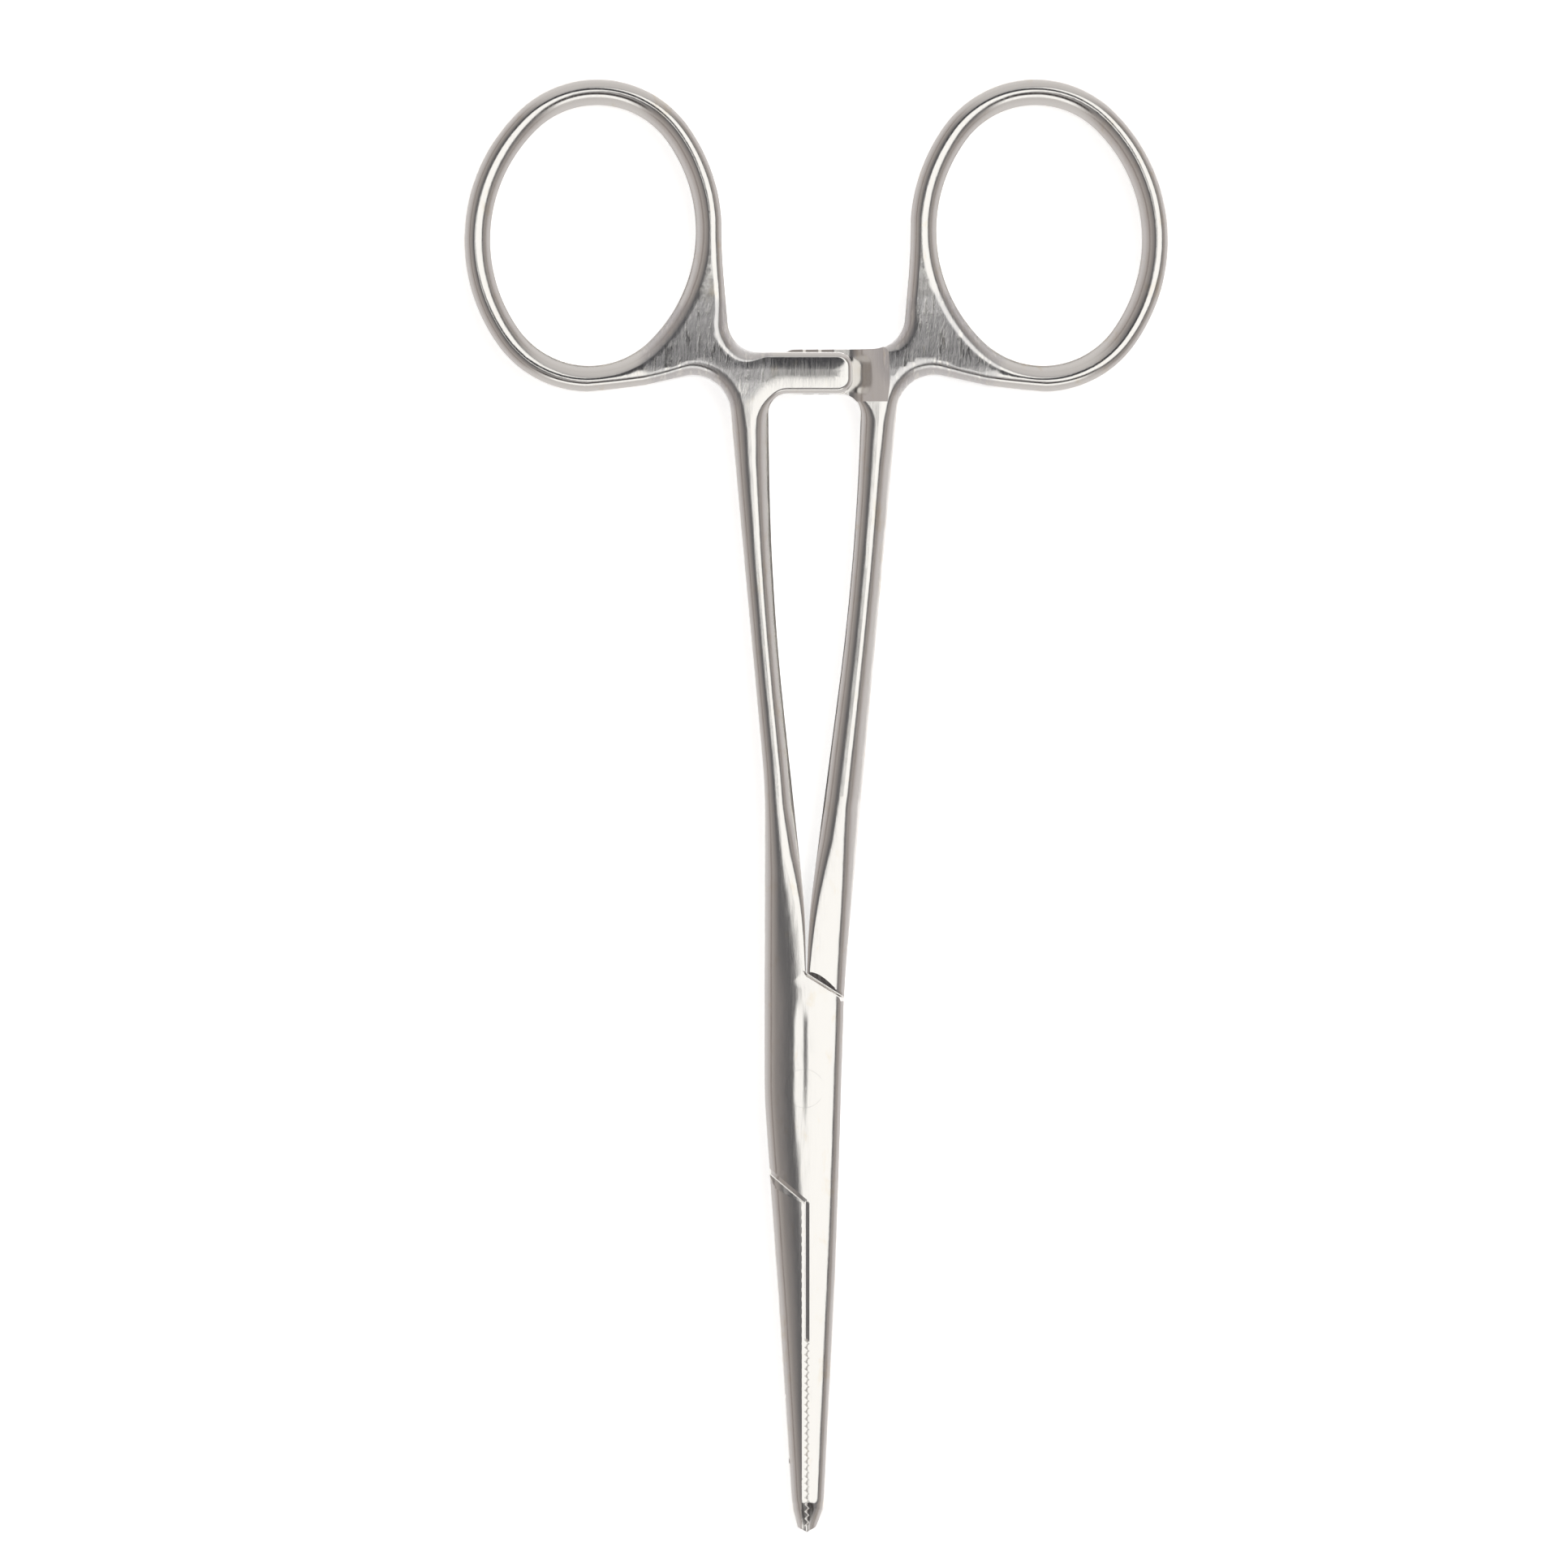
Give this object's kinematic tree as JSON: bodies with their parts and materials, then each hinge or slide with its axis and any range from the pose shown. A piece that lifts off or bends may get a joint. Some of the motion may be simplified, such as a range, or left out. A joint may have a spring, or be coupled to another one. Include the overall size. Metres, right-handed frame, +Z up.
{
  "type": "hemostat forceps",
  "caption": "Straight locking surgical forceps with crossed forged halves, a box lock, serrated jaws, finger rings and a ratchet.",
  "frame": {"origin": "on the lower face of the box lock, on the axis of the pin", "axes": "+X across the forceps towards the ring of the tongue half, +Y from the pin towards the finger rings, +Z up through the thickness as the forceps lie flat"},
  "size_m": [0.0677, 0.1398, 0.005],
  "materials": {
    "slotted_half_steel": "mirror polish with fine lengthwise grinding lines, satin webs",
    "tongue_half_steel": "mirror polish with fine lengthwise grinding lines, satin webs",
    "pin_steel": "ground flush with the box lock and polished with it"
  },
  "bodies": {
    "slotted_body": {"slotted_half": "slotted_half_steel", "box_lock_pin": "pin_steel"},
    "tongue_body": {"tongue_half": "tongue_half_steel"}
  },
  "joints": [
    {"name": "box_lock_hinge", "type": "hinge", "parent": "slotted_body", "child": "tongue_body", "pos_m": [0, 0, 0.0025], "axis": [0, 0, -1], "range_deg": [0, 60]}
  ]
}
